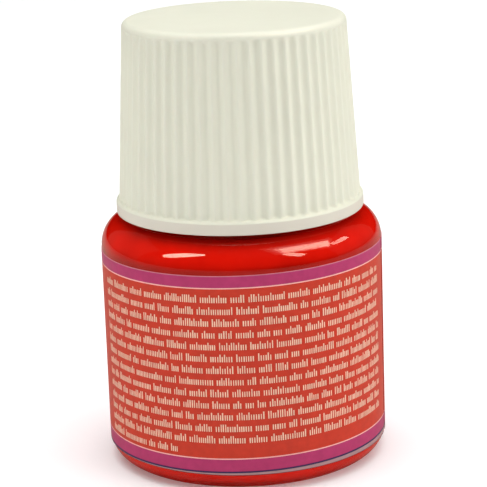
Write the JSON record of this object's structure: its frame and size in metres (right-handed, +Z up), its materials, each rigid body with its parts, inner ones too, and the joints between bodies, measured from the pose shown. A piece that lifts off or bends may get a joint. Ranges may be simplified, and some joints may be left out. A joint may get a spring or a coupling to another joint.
{
  "type": "paint jar",
  "caption": "Small round glass jar of red paint with a wrap label, a threaded neck and a white ribbed screw cap.",
  "frame": {"origin": "centre of the base, on the surface that the jar stands on", "axes": "+Z up along the jar's axis of symmetry; the jar's front, in the middle of the printed text, faces -Y"},
  "size_m": [0.0432, 0.0432, 0.068],
  "materials": {
    "clear_glass": "clear, polished",
    "label_film": "satin printed film",
    "red_paint": "wet, glossy",
    "cap_plastic": "satin moulded",
    "insert_plastic": "satin moulded",
    "liner_foam": "soft foam"
  },
  "bodies": {
    "jar": {"glass_jar": "clear_glass", "label": "label_film", "paint_fill": "red_paint"},
    "wad": {"cap_liner": "liner_foam"},
    "cap": {"cap_shell": "cap_plastic", "cap_insert": "insert_plastic"}
  },
  "joints": [
    {"name": "cap_lift", "type": "slide", "parent": "jar", "child": "wad", "axis": [0, 0, 1], "range_m": [0, 0.0168]},
    {"name": "cap_turn", "type": "hinge", "parent": "wad", "child": "cap", "pos_m": [0, 0, 0], "axis": [0, 0, 1], "range_deg": [0, 1440]}
  ],
  "couplings": [
    {"joint": "cap_lift", "follows": "cap_turn", "m_per_rad": 0.00066845}
  ]
}
